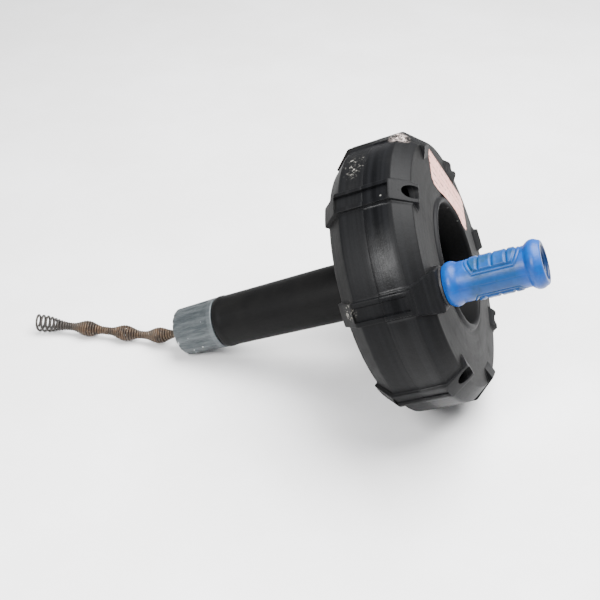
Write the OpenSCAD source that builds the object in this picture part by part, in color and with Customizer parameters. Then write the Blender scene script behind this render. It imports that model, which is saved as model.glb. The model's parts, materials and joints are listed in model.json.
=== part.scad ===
// Hand-cranked drain snake: a ribbed drum holds a coiled cable, which leaves through a neck
// inside the grip tube and a twist-lock collar, and ends in a three-bulb auger head.
// Every piece is drawn along the spin axis: z = 0 is the rim of the rear recess, +z is the nose,
// x points to the side that carries the crank and y up. laid_down() then puts the whole
// machine on the floor, nose towards -X, as it rests on the drum's front edge and the collar.

/* [Drum] */
// Radius of the drum over its ribs
rib_r = 83; // [82:0.5:84]
// Radius of the drum's skin between the ribs
skin_r = 81.2; // [80.8:0.1:81.4]
// Wall thickness of the two shells
wall = 2.6; // [2.2:0.1:3]
// Distance from the rear rim to the parting line
parting_z = 27.8; // [26:0.2:29]
// Half width of a rib on the front shell
front_rib_hw = 6.6; // [6.2:0.1:7]
// Half width of a rib on the rear shell
rear_rib_hw = 7.8; // [7.4:0.1:8.2]
// Depth of the channel along the top of each rib
channel_depth = 1.5; // [1:0.1:2]
// Radius of the rear recess at its mouth
recess_r = 36.8; // [36:0.2:37.4]
// Depth of the rear recess
recess_depth = 32; // [30:1:34]

/* [Grip] */
// Outer radius of the grip tube's plain seat, next to the drum
grip_r = 17.7; // [17.4:0.1:18]
// Outer radius of the grip tube at the collar end
grip_nose_r = 16.4; // [16.2:0.1:16.6]
// Length of the grip tube's plain seat
seat_len = 20; // [18:1:22]

/* [Collar] */
// Outer radius of the lock collar at its rear
collar_r = 16.4; // [16.2:0.1:16.6]
// Outer radius of the lock collar at its front
collar_nose_r = 15.5; // [15.3:0.1:15.7]
// Number of finger flutes round the collar
flutes = 18; // [16:1:20]

/* [Cable] */
// Diameter of the cable
cable_d = 6.35; // [6.3:0.05:6.4]
// Turns in each layer of the stored coil, outermost first
layer_turns = [5, 5, 6, 6];
// Length of the auger head, from the collar to the hook coil's end
head_len = 106; // [102:1:108]

/* [Crank] */
// Distance from the drum's axis to the crank handle's axis
crank_r = 60; // [59:0.5:61]
// Radius of the crank handle's grip
handle_r = 11.2; // [11:0.1:11.6]
// Length of the crank handle
handle_len = 52.5; // [51:0.5:54]

/* [Hidden] */

$fn = 96;
eps = 0.01;

// Ribs stand every 45 degrees and the crank sits behind the first one above the side
rib_count = 8;
rib_step = 360 / rib_count;
crank_a = rib_step / 2;

// The skin's outline folds at both ends of its main wall: rear foot and edge, front edge and foot
skin_rear_foot = [2.6, 74];
skin_rear_edge = [12, skin_r - 0.2];
skin_front_edge = [42.3, skin_r - 0.3];
skin_front_foot = [51.7, 72.5];

// The rib's outline: rear end, rear fold, front fold and front end
rear_end = [-0.6, 71.6];
rear_fold = [12, rib_r];
front_fold = [44.2, rib_r - 0.2];
front_end = [53.8, 73.3];
rib_root_r = skin_r - wall;
channel_hw = 4;
// Shadow gap where the front shell's ribs meet the rear shell's
seam = 0.12;
ledge = 1.5;

// Screws through every second rib
screw_r = 74;
screw_as = [for (k = [0:3]) crank_a + rib_step + k * 2 * rib_step];
boss_r = 5.6;
pocket_r = 4.4;
pocket_floor = 15;
screw_shank_r = 2;

// The neck runs from the drum's front wall to the chuck
drum_front = 61;
neck_r = 9;
neck_bore_r = 5;
neck_flange_r = 25;
hub_r = 26.4;
neck_flange_t = 2.6;
neck_start = drum_front - 3 - neck_flange_t;
neck_end = 170;
flange_screw_r = 21;
grip_start = 63.4;
grip_end = 158.6;
grip_bore_r = 14.6;
run_gap = 0.05;

// The collar and what it closes on
collar_start = 160.9;
collar_front = 190.6;
collar_round = 2.2;
chuck_r = 12.1;
chuck_front = 173;
nose_r = 7.6;
nose_front = 183.8;
jaw_w = 5;
jaw_r = 8.5;
jaw_travel = 0.8;
cam_lift_a = 60;
cam_lead_a = 17;
mouth_r = 4.2;

cable_r = cable_d / 2;
turn_pitch = 6.5;
coil_r = 64.4;
coil_start = 16.8;
lead_start = 65.5;

// The cable's inner end comes through the recess floor under a clamp
clamp_a = crank_a - 62;
cable_hole_r = 14;
clamp_r = 24;
clamp_screw_r = 1.8;
tail_tip = 23;

// Crank stack, measured rearwards from the recess rim
seat_top = -2.3;
seat_hw = 11.8;
seat_t = 10.8;
spindle_r = 4;
crank_tip = seat_top + seat_t + 4.7;
handle_start = seat_top - 1.5;
handle_end = handle_start - handle_len;

// The machine rests on the skin's front edge, between two ribs, and on the collar's front rim
rest_z = collar_front - collar_round;
pitch = atan((skin_front_edge[1] - collar_nose_r) / (rest_z - skin_front_edge[0]));
axis_h = rest_z * sin(pitch) + collar_nose_r * cos(pitch);
// Puts the middle of the whole length over the origin
axis_x = 117;

module laid_down() {
    translate([axis_x, 0, axis_h])
        rotate([0, -(90 + pitch), 0])
            rotate([0, 0, -90])
                children();
}

module ring(r_out, r_in, z0, z1) {
    translate([0, 0, z0])
        difference() {
            cylinder(r = r_out, h = z1 - z0);
            translate([0, 0, -1])
                cylinder(r = r_in, h = z1 - z0 + 2);
        }
}

module rod(r, z0, z1) {
    translate([0, 0, z0])
        cylinder(r = r, h = z1 - z0);
}

// Places children at a radius and an angle round the spin axis
module around(r, a) {
    rotate([0, 0, a])
        translate([r, 0, 0])
            children();
}

// ---------------------------------------------------------------- drum shells

// Arc of points from angle a0 to a1 about a centre, in [r, z]
function arc(c, r, a0, a1, n) = [for (i = [0:n]) c + r * [cos(a0 + (a1 - a0) * i / n), sin(a0 + (a1 - a0) * i / n)]];

// A [z, r] corner as an [r, z] point
function swap(p) = [p[1], p[0]];

rear_skin = [[42, 1.6], swap(skin_rear_foot), swap(skin_rear_edge), [skin_r, parting_z - 8], [skin_r, parting_z]];
front_skin = [[skin_r, parting_z], [skin_r, parting_z + 6], swap(skin_front_edge), swap(skin_front_foot),
              [hub_r + 2, 59.8], [hub_r, drum_front]];

module rear_revolve() {
    rotate_extrude()
        polygon(concat(
            [[recess_r - 3, recess_depth + wall], [0, recess_depth + wall], [0, recess_depth], [recess_r - 3.2, recess_depth]],
            [[recess_r, 1.4]],
            arc([recess_r + 1.6, 1.6], 1.6, 180, 360, 8),
            rear_skin,
            [[rib_root_r, parting_z], [rib_root_r, 13.4]],
            [[72.4, 2.6 + wall], [recess_r + wall, 2 + wall]]
        ));
}

module front_revolve() {
    rotate_extrude()
        polygon(concat(
            front_skin,
            [[neck_r + 0.1, drum_front], [neck_r + 0.1, drum_front - 3], [hub_r, drum_front - 3],
             [70.4, 49.8]],
            [[rib_root_r, 40.8], [rib_root_r, parting_z]]
        ));
}

// One rib's solid between two heights, cut from its side outline
module rib_blank(hw, z0, z1) {
    intersection() {
        rotate([90, 0, 0])
            translate([0, 0, -hw])
                linear_extrude(2 * hw)
                    polygon([[rib_root_r - 3, 12], [64, 3.8], [rear_end[1], rear_end[0]], [rear_fold[1], rear_fold[0]],
                             [front_fold[1], front_fold[0]], [front_end[1], front_end[0]], [71.5, 49],
                             [rib_root_r - 3, 44]]);
        translate([40, -20, z0])
            cube([60, 40, z1 - z0]);
    }
}

// The channel along the rib's top
module rib_channel(z0, z1) {
    translate([rib_r - channel_depth, -channel_hw, z0])
        cube([10, 2 * channel_hw, z1 - z0]);
}

// The low ledges that flank a rib on the rear shell
module rib_ledges() {
    for (side = [-1, 1])
        translate([rib_r - ledge, side * (rear_rib_hw - 1) - 1, -2])
            cube([10, 2, parting_z + 2]);
}

module rear_rib() {
    difference() {
        rib_blank(rear_rib_hw, -3, parting_z);
        rib_channel(12.6, parting_z + 1);
        rib_ledges();
    }
}

module front_rib() {
    difference() {
        rib_blank(front_rib_hw, parting_z + seam, 60);
        rib_channel(parting_z - 1, 50);
    }
}

// The ramp from the first rib to the crank's raised seat
module crank_ramp() {
    intersection() {
        rotate([90, 0, 0])
            translate([0, 0, -seat_hw])
                linear_extrude(2 * seat_hw)
                    polygon([[crank_r, seat_top], [rear_end[1], seat_top], [rib_r - 2, 9], [rib_r - 2, 15],
                             [rib_root_r - 3, 15], [66, 5], [crank_r, 3.6]]);
        translate([crank_r - 1, 0, 0])
            rotate([90, 0, 90])
                linear_extrude(40)
                    polygon([[-seat_hw, seat_top - 1], [seat_hw, seat_top - 1], [seat_hw, 2],
                             [rear_rib_hw - 0.4, 14], [-rear_rib_hw + 0.4, 14], [-seat_hw, 2]]);
    }
}

module crank_seat() {
    crank_ramp();
    translate([crank_r, 0, seat_top])
        cylinder(r = seat_hw, h = seat_t);
}

module rear_shell() {
    color("#26272a")
        laid_down() {
            difference() {
                union() {
                    rear_revolve();
                    for (k = [0 : rib_count - 1])
                        rotate([0, 0, crank_a + k * rib_step])
                            rear_rib();
                    for (a = screw_as)
                        around(screw_r, a)
                            rod(boss_r, 8, parting_z);
                    rotate([0, 0, crank_a])
                        crank_seat();
                }
                for (a = screw_as)
                    around(screw_r, a) {
                        rod(pocket_r, -5, pocket_floor);
                        rod(screw_shank_r + 0.2, pocket_floor - 1, parting_z + 1);
                    }
                around(crank_r, crank_a)
                    rod(spindle_r + 0.1, seat_top - 1, 30);
                around(clamp_r, clamp_a)
                    rod(clamp_screw_r + 0.2, recess_depth - 1, recess_depth + wall + 1);
                around(cable_hole_r, clamp_a)
                    rod(cable_r + 0.3, recess_depth - 1, recess_depth + wall + 1);
            }
        }
}

module front_shell() {
    color("#26272a")
        laid_down() {
            difference() {
                union() {
                    front_revolve();
                    for (k = [0 : rib_count - 1])
                        rotate([0, 0, crank_a + k * rib_step])
                            front_rib();
                    for (a = screw_as)
                        around(screw_r, a)
                            rod(boss_r, parting_z + seam, 46.4);
                }
                for (a = screw_as)
                    around(screw_r, a)
                        rod(screw_shank_r, parting_z - 1, 40);
                for (k = [0:3])
                    around(flange_screw_r, 45 + 90 * k)
                        rod(screw_shank_r + 0.2, drum_front - 5, drum_front + 1);
            }
        }
}

// A pan-head screw along z, its head towards -z
module screw(head_r, head_z, head_t, shank_r, tip_z) {
    difference() {
        union() {
            rod(head_r, head_z, head_z + head_t);
            rod(shank_r, head_z + head_t - eps, tip_z);
        }
        for (a = [0, 90])
            rotate([0, 0, a])
                translate([-head_r * 0.6, -0.4, head_z - 1])
                    cube([head_r * 1.2, 0.8, 2]);
    }
}

module shell_screws() {
    color("#3a3b3e")
        laid_down()
            for (a = screw_as)
                around(screw_r, a)
                    screw(3.8, pocket_floor - 2.8, 2.8, screw_shank_r, 38);
}

// ---------------------------------------------------------------- neck and stored cable

module neck_tube() {
    color("#b9bcc0")
        laid_down()
            difference() {
                union() {
                    rod(neck_r, neck_start, neck_end);
                    rod(neck_flange_r, neck_start, neck_start + neck_flange_t);
                }
                rod(neck_bore_r, neck_start - 1, neck_end + 1);
                for (k = [0:3])
                    around(flange_screw_r, 45 + 90 * k)
                        rod(screw_shank_r, neck_start - 1, neck_start + 5);
                ring(neck_r + 1, neck_r - 0.4, grip_end + 0.2, grip_end + 1.8);
            }
}

module neck_flange_screws() {
    color("#8f9296")
        laid_down()
            for (k = [0:3])
                around(flange_screw_r, 45 + 90 * k)
                    mirror([0, 0, 1])
                        screw(3.6, -(drum_front + 2), 2, screw_shank_r, -(neck_start - 3));
}

module cable_turn(r, z) {
    translate([0, 0, z])
        rotate_extrude()
            translate([r, 0])
                circle(r = cable_r, $fn = 24);
}

module cable_coil() {
    color("#7d7263")
        laid_down()
            for (layer = [0 : len(layer_turns) - 1], k = [0 : layer_turns[layer] - 1])
                cable_turn(coil_r - layer * turn_pitch, coil_start + k * turn_pitch);
}

// A closed tube swept along points, with its own radius at each one
function unit(v) = v / norm(v);
function tangent(p, i) = unit(p[min(i + 1, len(p) - 1)] - p[max(i - 1, 0)]);
function side_of(t, ref) = unit(cross(t, ref));
function sweep_ring(c, t, ref, r, n) = let (u = side_of(t, ref), v = cross(t, u))
    [for (k = [0 : n - 1]) c + r * (cos(360 * k / n) * u + sin(360 * k / n) * v)];

module sweep(p, radii, ref, n) {
    rings = [for (i = [0 : len(p) - 1]) each sweep_ring(p[i], tangent(p, i), ref, radii[i], n)];
    last = len(p) - 1;
    walls = [for (i = [0 : last - 1], k = [0 : n - 1]) let (a = i * n, b = a + n, m = (k + 1) % n)
        [a + k, a + m, b + m, b + k]];
    ends = [[for (k = [n - 1 : -1 : 0]) k], [for (k = [0 : n - 1]) last * n + k]];
    polyhedron(rings, concat(walls, ends), convexity = 6);
}

// Catmull-Rom curve through a route, steps points to each stretch
function spline_at(p, i, t) = let (
        a = p[max(i - 1, 0)], b = p[i], c = p[i + 1], d = p[min(i + 2, len(p) - 1)])
    0.5 * (2 * b + (c - a) * t + (2 * a - 5 * b + 4 * c - d) * t * t + (3 * b - a - 3 * c + d) * t * t * t);
function spline(p, steps) = concat(
    [for (i = [0 : len(p) - 2], s = [0 : steps - 1]) spline_at(p, i, s / steps)], [p[len(p) - 1]]);

// The last stretch of cable leaves the innermost layer and curls into the throat of the neck: [r, angle, z]
run_polar = [[38.3, 120, 44], [38.2, 145, 43.8], [37, 170, 43.2], [34, 195, 42.2], [28, 220, 41.4], [21, 243, 41.5],
             [13, 260, 43.2], [6, 268, 47.5], [1.5, 270, 52.5], [0, 270, 57], [0, 270, lead_start - 0.5]];
run_route = [for (q = run_polar) [q[0] * cos(q[1]), q[0] * sin(q[1]), q[2]]];

module cable_run() {
    path = spline(run_route, 4);
    color("#7d7263")
        laid_down()
            sweep(path, [for (q = path) cable_r], [0.3, 0.2, 1], 10);
}

// The cable's inner end leaves the innermost layer, crosses the back of the recess floor and turns through it
tail_bend = 5;
tail_route = concat(
    [[cable_hole_r, tail_tip], [cable_hole_r, recess_depth + wall]],
    [for (a = [162, 144, 126, 108]) [cable_hole_r + tail_bend, recess_depth + wall] + tail_bend * [cos(a), sin(a)]],
    [[cable_hole_r + tail_bend, recess_depth + wall + tail_bend], [36, recess_depth + wall + tail_bend]]
);

module cable_tail() {
    color("#7d7263")
        laid_down()
            rotate([0, 0, clamp_a])
                sweep([for (q = tail_route) [q[0], 0, q[1]]], [for (q = tail_route) cable_r], [0, 1, 0], 16);
}

// A strap on the recess floor holds the cable's end
module cable_clamp() {
    color("#8c8f92")
        laid_down()
            difference() {
                around(clamp_r, clamp_a)
                    translate([-15, -5, recess_depth - 3.4])
                        cube([21, 10, 3.3]);
                around(clamp_r, clamp_a)
                    rod(clamp_screw_r + 0.1, recess_depth - 5, recess_depth + 1);
                around(cable_hole_r, clamp_a)
                    rod(cable_r + 0.1, recess_depth - 5, recess_depth + 1);
            }
}

module cable_clamp_screw() {
    color("#77797c")
        laid_down()
            around(clamp_r, clamp_a)
                screw(3.6, recess_depth - 5.9, 2.4, clamp_screw_r, recess_depth + wall + 1.4);
}

// ---------------------------------------------------------------- grip

module grip_tube() {
    color("#1d1e20")
        laid_down()
            difference() {
                rotate_extrude()
                    polygon(concat(
                        [[grip_bore_r, grip_start], [grip_r - 0.8, grip_start], [grip_r, grip_start + 0.8]],
                        [[grip_r, grip_start + seat_len], [grip_nose_r, grip_end - 7]],
                        arc([grip_nose_r - 1.4, grip_end - 2.2], 2.1, 30, 90, 4),
                        [[grip_bore_r, grip_end - 0.1]]
                    ));
            }
}

module grip_bush(z0, z1, groove_z) {
    difference() {
        ring(grip_bore_r, neck_r + run_gap, z0, z1);
        ring(grip_bore_r + 1, grip_bore_r - 1, groove_z, groove_z + 1.5);
    }
}

module grip_rear_bush() {
    color("#d8d4c4")
        laid_down()
            grip_bush(grip_start + 0.4, grip_start + 14, grip_start + 6);
}

module grip_front_bush() {
    color("#d8d4c4")
        laid_down()
            grip_bush(grip_end - 13, grip_end - 0.2, grip_end - 8);
}

module grip_thrust_washer() {
    color("#c9c6b8")
        laid_down()
            ring(16.4, neck_r + run_gap, drum_front + 0.3, grip_start - 0.3);
}

module grip_retaining_ring() {
    color("#6f7276")
        laid_down()
            difference() {
                ring(12.6, neck_r - 0.3, grip_end + 0.4, grip_end + 1.6);
                translate([0, -1.5, grip_end])
                    cube([14, 3, 3]);
            }
}

// ---------------------------------------------------------------- twist-lock chuck

module chuck_body() {
    color("#3c3e41")
        laid_down()
            difference() {
                union() {
                    rod(chuck_r, collar_start + 0.3, chuck_front);
                    rod(nose_r, chuck_front - eps, nose_front);
                }
                rod(neck_r, collar_start - 1, neck_end);
                rod(cable_r + 0.5, neck_end - 1, nose_front + 1);
                for (k = [0:2])
                    rotate([0, 0, 120 * k])
                        translate([0, -jaw_w / 2 - 0.15, chuck_front + 0.3])
                            cube([nose_r + 1, jaw_w + 0.3, 20]);
            }
}

module jaw(k) {
    rotate([0, 0, 120 * k])
        intersection() {
            ring(jaw_r, cable_r + 0.07, chuck_front + 0.6, nose_front - 0.2);
            translate([0, -jaw_w / 2, chuck_front])
                cube([20, jaw_w, 20]);
        }
}

module jaw_a() {
    color("#b58a3c")
        laid_down()
            jaw(0);
}

module jaw_b() {
    color("#b58a3c")
        laid_down()
            jaw(1);
}

module jaw_c() {
    color("#b58a3c")
        laid_down()
            jaw(2);
}

// Three ramps inside the collar let the jaws out as it turns
function cam_turn(a) = (a + cam_lead_a) % 120;
function cam_r(a) = jaw_r + 0.15 + jaw_travel * (cam_turn(a) < 94
    ? min(1, cam_turn(a) / cam_lift_a)
    : (120 - cam_turn(a)) / 26);

module lock_collar() {
    color("#8b9498")
        laid_down()
            difference() {
                rotate_extrude()
                    polygon(concat(
                        [[chuck_r + run_gap, collar_start], [collar_r - 0.6, collar_start], [collar_r, collar_start + 0.6]],
                        [[collar_r, collar_start + 3]],
                        arc([collar_nose_r - collar_round, collar_front - collar_round], collar_round, 0, 90, 6),
                        [[mouth_r, collar_front], [mouth_r, chuck_front + 0.3], [chuck_r + run_gap, chuck_front + 0.3]]
                    ));
                translate([0, 0, chuck_front - 1])
                    linear_extrude(nose_front - chuck_front + 1.5)
                        polygon([for (a = [0:6:354]) cam_r(a) * [cos(a), sin(a)]]);
                for (k = [0 : flutes - 1])
                    around(collar_nose_r + 0.2, 90 + (k + 0.5) * 360 / flutes)
                        rotate([0, 0, 45])
                            translate([-0.8, -0.8, collar_start + 4])
                                cube([3, 3, 40]);
            }
}

// ---------------------------------------------------------------- fed cable and auger head

// Beyond the collar the cable bends up from the pitched axis until it lies level on the floor
head_start = collar_front + 1;
head_rest_r = 6.15;
bend_r = (axis_h - head_start * sin(pitch) - head_rest_r) / (1 - cos(pitch));
bend_len = bend_r * pitch * PI / 180;
function head_axis(u) = u < bend_len
    ? let (a = u / bend_len * pitch) [0, bend_r * (1 - cos(a)), head_start + bend_r * sin(a)]
    : [0, bend_r * (1 - cos(pitch)), head_start + bend_r * sin(pitch)] + (u - bend_len) * [0, sin(pitch), cos(pitch)];

// Envelope of the wound head: three bulbs with waists between, then the open hook coil
bulb_at = [17, 41, 67.5];
bulb_half = 12.5;
waist_r = 2.75;
bulb_r = 6;
hook_r = 6.1;
hook_at = 82;
hook_flare = 14;
function bulb(u, c) = abs(u - c) < bulb_half ? pow(cos(90 * (u - c) / bulb_half), 2) : 0;
function bulbs(u) = bulb(u, bulb_at[0]) + bulb(u, bulb_at[1]) + bulb(u, bulb_at[2]);
function head_r(u) = u < hook_at
    ? waist_r + (bulb_r - waist_r) * bulbs(u)
    : waist_r + (hook_r - waist_r) * min(1, (u - hook_at) / hook_flare);

module cable_lead() {
    color("#7d7263")
        laid_down()
            rod(cable_r, lead_start, head_start);
}

module auger_head() {
    steps = 50;
    us = [for (i = [0 : steps]) head_len * i / steps];
    color("#6b4f35")
        laid_down()
            sweep([for (u = us) head_axis(u)], [for (u = us) head_r(u)], [1, 0, 0], 12);
}

// ---------------------------------------------------------------- crank

module crank_spindle() {
    color("#a3a6aa")
        laid_down()
            around(crank_r, crank_a)
                screw(7, handle_end + 3, 2.6, spindle_r, crank_tip);
}

module crank_nut() {
    color("#8f9296")
        laid_down()
            around(crank_r, crank_a)
                difference() {
                    translate([0, 0, seat_top + seat_t])
                        cylinder(r = 7.2, h = 3.6, $fn = 6);
                    rod(spindle_r, seat_top, crank_tip + 1);
                }
}

module crank_washer() {
    color("#55585b")
        laid_down()
            around(crank_r, crank_a)
                ring(10.8, spindle_r + run_gap, handle_start + 0.3, seat_top);
}

module crank_handle() {
    color("#2b82d6")
        laid_down()
            around(crank_r, crank_a)
                translate([0, 0, handle_start])
                    mirror([0, 0, 1])
                        difference() {
                            rotate_extrude()
                                polygon(concat(
                                    [[0, 0], [handle_r - 0.2, 0]],
                                    arc([handle_r - 1.4, 3.2], 2.2, -50, 50, 5),
                                    [[handle_r - 0.5, 8.4], [handle_r, 12], [handle_r, 38]],
                                    arc([handle_r - 1.2, handle_len - 7], 3.6, -25, 60, 6),
                                    [[handle_r - 0.2, handle_len - 1], [handle_r - 1.2, handle_len], [0, handle_len]]
                                ));
                            rod(spindle_r + 1.5, -1, handle_len + 1);
                            rod(7.4, handle_len - 6.2, handle_len + 1);
                            for (side = [0, 180], k = [0:3])
                                rotate([0, 0, side])
                                    translate([handle_r + 0.9, -8, 16.4 + 6 * k])
                                        rotate([-90, 0, 0])
                                            cylinder(r = 1.5, h = 16, $fn = 32);
                        }
}

module crank_end_bush() {
    color("#1d1e20")
        laid_down()
            around(crank_r, crank_a)
                difference() {
                    ring(spindle_r + 1.5, spindle_r + run_gap, handle_end + 6.3, handle_start - 0.2);
                    ring(spindle_r + 2, spindle_r + 1.1, handle_end + 24, handle_end + 26);
                }
}

rear_shell();
front_shell();
shell_screws();
neck_tube();
neck_flange_screws();
cable_coil();
cable_run();
cable_tail();
cable_clamp();
cable_clamp_screw();
grip_tube();
grip_rear_bush();
grip_front_bush();
grip_thrust_washer();
grip_retaining_ring();
chuck_body();
jaw_a();
jaw_b();
jaw_c();
lock_collar();
cable_lead();
auger_head();
crank_spindle();
crank_nut();
crank_washer();
crank_handle();
crank_end_bush();
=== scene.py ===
import json
import math
import bpy
import bmesh
from mathutils import Matrix, Vector, noise
from mathutils.kdtree import KDTree


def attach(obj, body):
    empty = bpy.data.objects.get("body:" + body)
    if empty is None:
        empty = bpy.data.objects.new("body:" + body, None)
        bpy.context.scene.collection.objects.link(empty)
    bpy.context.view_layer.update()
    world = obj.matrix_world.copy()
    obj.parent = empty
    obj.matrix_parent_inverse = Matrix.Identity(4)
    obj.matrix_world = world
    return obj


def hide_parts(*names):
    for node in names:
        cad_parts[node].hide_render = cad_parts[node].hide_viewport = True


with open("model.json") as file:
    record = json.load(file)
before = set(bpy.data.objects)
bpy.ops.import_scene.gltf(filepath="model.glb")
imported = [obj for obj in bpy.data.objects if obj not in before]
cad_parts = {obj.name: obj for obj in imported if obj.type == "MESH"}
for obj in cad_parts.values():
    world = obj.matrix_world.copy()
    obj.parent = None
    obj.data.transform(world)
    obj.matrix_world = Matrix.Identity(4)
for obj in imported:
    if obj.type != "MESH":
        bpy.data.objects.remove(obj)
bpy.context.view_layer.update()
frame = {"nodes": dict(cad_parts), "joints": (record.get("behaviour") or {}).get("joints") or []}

# ---------------------------------------------------------------- room
# The machine rests on a plain pale board under soft light: a broad panel overhead, a small
# window on the left, a faint fill on the right and an even pale surround.

# The machine is drawn along its spin axis in millimetres: z runs from the rim of the rear
# recess to the nose, x to the side that carries the crank and y up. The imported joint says
# where that axis lies on the floor, and every piece below is laid down along it.
spin = next(j for j in frame["joints"] if j["name"] == "drum_spin")
nose_way = Vector(spin["axis"]).normalized()
crank_way = Vector((0, -1, 0))
up_way = nose_way.cross(crank_way)
SPIN_JOINT_Z = 60
recess_rim = Vector(spin["pos_m"]) - nose_way * SPIN_JOINT_Z * 0.001
turned = Matrix((crank_way, up_way, nose_way)).transposed().to_4x4()
laid = Matrix.Translation(recess_rim) @ turned @ Matrix.Scale(0.001, 4)

VIEW_TURN = math.radians(10.41)
VIEW_DOWN = math.radians(37.2)
camera_data = bpy.data.cameras.new("camera")
camera_data.lens = 59.4
camera_data.sensor_width = 36
camera_data.clip_start = 0.01
camera = bpy.data.objects.new("camera", camera_data)
bpy.context.scene.collection.objects.link(camera)
camera.location = (recess_rim.x - 0.0064, -0.4869, 0.4260)
look = Vector((-math.sin(VIEW_TURN) * math.cos(VIEW_DOWN), math.cos(VIEW_TURN) * math.cos(VIEW_DOWN),
               -math.sin(VIEW_DOWN)))
camera.rotation_euler = look.to_track_quat("-Z", "Y").to_euler()
bpy.context.scene.camera = camera

world = bpy.data.worlds.new("surround")
bpy.context.scene.world = world
world.use_nodes = True
world.node_tree.nodes["Background"].inputs["Color"].default_value = (0.95, 0.96, 1.0, 1)
world.node_tree.nodes["Background"].inputs["Strength"].default_value = 0.42


def light_panel(name, place, aim, size, power):
    data = bpy.data.lights.new(name, "AREA")
    data.shape = "RECTANGLE"
    data.size, data.size_y = size
    data.energy = power
    panel = bpy.data.objects.new(name, data)
    panel.location = place
    panel.rotation_euler = (Vector(aim) - Vector(place)).to_track_quat("-Z", "Y").to_euler()
    bpy.context.scene.collection.objects.link(panel)


middle = recess_rim.x
light_panel("overhead", (middle + 0.20, 0.20, 0.95), (middle - 0.05, 0, 0.05), (1.0, 0.8), 54.0)
light_panel("left_window", (middle - 0.28, -0.44, 0.49), (middle, 0, 0.11), (0.14, 0.26), 7.0)
light_panel("right_fill", (middle + 0.85, -0.35, 0.45), (middle, 0, 0.09), (0.6, 0.6), 1.0)

floor_mesh = bmesh.new()
bmesh.ops.create_grid(floor_mesh, x_segments=1, y_segments=1, size=4)
floor_data = bpy.data.meshes.new("floor")
floor_mesh.to_mesh(floor_data)
floor_mesh.free()
floor = bpy.data.objects.new("floor", floor_data)
bpy.context.scene.collection.objects.link(floor)


class Wire:
    """A socket that takes part in sums: masks and colours are written as Python expressions."""

    def __init__(self, finish, socket):
        self.finish, self.socket = finish, socket

    def sum(self, operation, first, second, clamp=False):
        return self.finish.node("Math", {"operation": operation, "use_clamp": clamp}, {0: first, 1: second})

    def __add__(self, other):
        return self.sum("ADD", self, other)

    def __sub__(self, other):
        return self.sum("SUBTRACT", self, other)

    def __mul__(self, other):
        return self.sum("MULTIPLY", self, other)

    def __rsub__(self, other):
        return self.sum("SUBTRACT", other, self)

    def __truediv__(self, other):
        return self.sum("DIVIDE", self, other)

    def __pow__(self, other):
        return self.sum("POWER", self, other)

    __radd__ = __add__
    __rmul__ = __mul__


class Finish:
    """A surface finish: its node tree, the coordinates it reads and the shader it feeds."""

    def __init__(self, name, **constants):
        self.material = bpy.data.materials.new(name)
        self.material.use_nodes = True
        self.tree = self.material.node_tree
        self.shader = self.tree.nodes["Principled BSDF"]
        for socket, value in constants.items():
            self.shader.inputs[socket.replace("_", " ")].default_value = value

    def node(self, kind, settings=None, values=None, out=0):
        made = self.tree.nodes.new("ShaderNode" + kind)
        for key, value in (settings or {}).items():
            if key == "stops":
                ramp = made.color_ramp
                while len(ramp.elements) < len(value):
                    ramp.elements.new(0.5)
                for element, (at, colour) in zip(ramp.elements, value):
                    element.position = at
                    element.color = colour if len(colour) == 4 else (*colour, 1)
            else:
                setattr(made, key, value)
        for key, value in (values or {}).items():
            if isinstance(value, Wire):
                self.tree.links.new(value.socket, made.inputs[key])
            else:
                made.inputs[key].default_value = value
        if out == "all":
            return [Wire(self, socket) for socket in made.outputs]
        return Wire(self, made.outputs[out])

    def place(self):
        """Object coordinates in metres."""
        return self.node("TexCoord", out="Object")

    def on_axis(self, origin=recess_rim):
        """Coordinates turned so that z runs along the spin axis from the recess rim, in metres."""
        return self.node("Mapping", {"vector_type": "TEXTURE"},
                         {"Vector": self.place(), "Location": origin, "Rotation": turned.to_euler()})

    def stretched(self, vector, scale):
        return self.node("Mapping", {"vector_type": "POINT"}, {"Vector": vector, "Scale": scale})

    def noise(self, vector, scale, detail=4, rough=0.5, warp=0.0):
        values = {"Vector": vector, "Scale": scale, "Detail": detail, "Roughness": rough, "Distortion": warp}
        return self.node("TexNoise", {}, values)

    def mask(self, value, low, high):
        return self.node("MapRange", {"clamp": True, "interpolation_type": "SMOOTHSTEP"},
                         {"Value": value, "From Min": low, "From Max": high})

    def blend(self, factor, first, second):
        made = self.tree.nodes.new("ShaderNodeMix")
        made.data_type = "RGBA"
        for index, value in ((0, factor), (6, first), (7, second)):
            if isinstance(value, Wire):
                self.tree.links.new(value.socket, made.inputs[index])
            else:
                made.inputs[index].default_value = (*value, 1) if isinstance(value, tuple) else value
        return Wire(self, made.outputs[2])

    def feed(self, socket, value):
        if isinstance(value, Wire):
            self.tree.links.new(value.socket, self.shader.inputs[socket])
        else:
            self.shader.inputs[socket].default_value = value

    def bump(self, height, depth):
        relief = self.node("Bump", {}, {"Height": height, "Distance": depth, "Strength": 1.0})
        self.feed("Normal", relief)


def board_finish():
    """Pale painted board with faint smudges."""
    f = Finish("pale_board", Roughness=0.55)
    cloud = f.noise(f.place(), 9, 5, 0.6)
    grit = f.mask(f.noise(f.place(), 120, 3, 0.6), 0.70, 0.78)
    tone = f.blend(f.mask(cloud, 0.35, 0.7), (0.80, 0.795, 0.79), (0.86, 0.86, 0.865))
    f.feed("Base Color", f.blend(grit * 0.08, tone, (0.5, 0.48, 0.44)))
    return f.material


floor_data.materials.append(board_finish())

# ---------------------------------------------------------------- drum halves
# Two shells moulded in one satin black plastic close on each other at a parting line, held by
# screws through every second rib. Handling has polished them in rings and scuffed the edges.
RIB_STEP = 45.0
CRANK_TURN = 22.5
FACE_FOOT = 0.0421
FACE_SLOPE = 0.0345


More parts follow.
